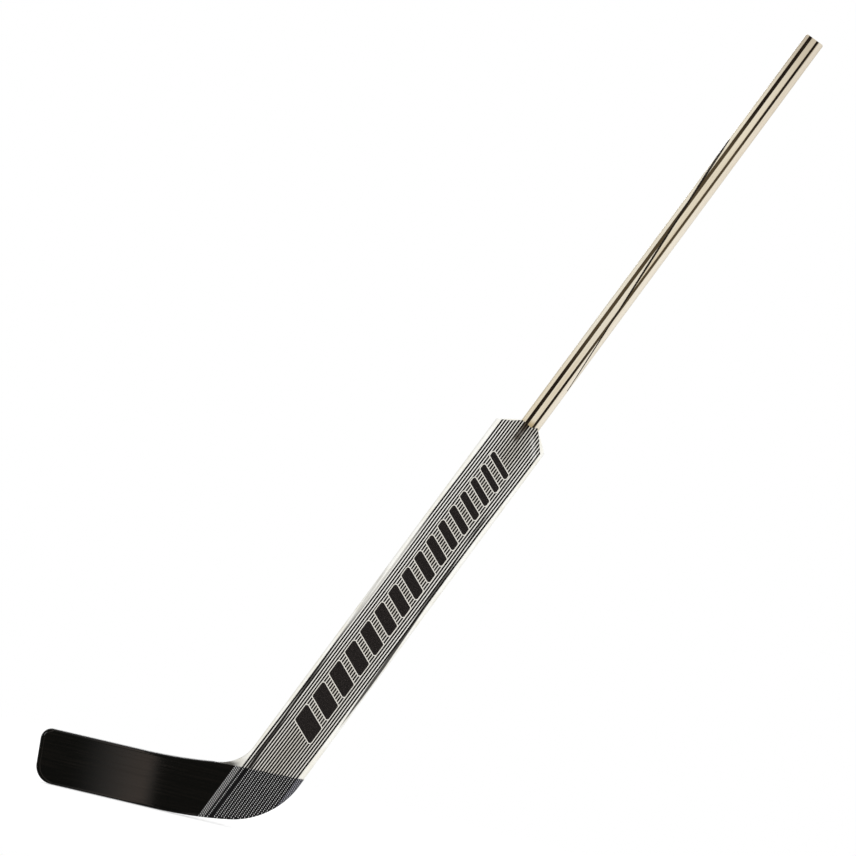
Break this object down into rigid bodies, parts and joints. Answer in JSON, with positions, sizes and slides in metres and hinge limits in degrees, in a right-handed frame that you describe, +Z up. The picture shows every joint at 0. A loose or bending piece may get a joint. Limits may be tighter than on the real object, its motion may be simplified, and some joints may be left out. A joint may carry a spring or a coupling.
{
  "type": "hockey goalie stick",
  "caption": "Hockey goalie stick: straight laminated wood handle, wide foam-cored paddle under pinstriped cloth, and a curved black blade in a woven sleeve.",
  "frame": {"origin": "on the flat of the sole, near where it starts to rise to the heel, in the middle plane of the handle", "axes": "+X along the sole from toe to heel, +Z up, so that the stick stands on its blade at its lie; the front of the paddle faces -Y"},
  "size_m": [0.8865, 0.0406, 1.3391],
  "materials": {
    "pale_ply": "pale lacquered wood",
    "dark_ply": "dark dyed wood, lacquered",
    "tongue_wood": "plain hardwood",
    "core_foam": "ivory sealed foam",
    "striped_cloth": "resin-soaked cloth with dark pinstripes, satin",
    "black_ply": "black resin ply",
    "woven_sleeve": "woven sleeve in resin, black on the blade and bare at the heel"
  },
  "bodies": {
    "root": {"handle_lead_ply": "pale_ply", "handle_lead_stripe": "dark_ply", "handle_centre_ply": "pale_ply", "handle_trail_stripe": "dark_ply", "handle_trail_ply": "pale_ply", "heel_tongue": "tongue_wood", "paddle_lead_core": "core_foam", "paddle_trail_core": "core_foam", "blade_core": "core_foam", "paddle_front_skin": "striped_cloth", "paddle_back_skin": "striped_cloth", "blade_front_ply": "black_ply", "blade_back_ply": "black_ply", "blade_sleeve": "woven_sleeve"}
  },
  "joints": []
}
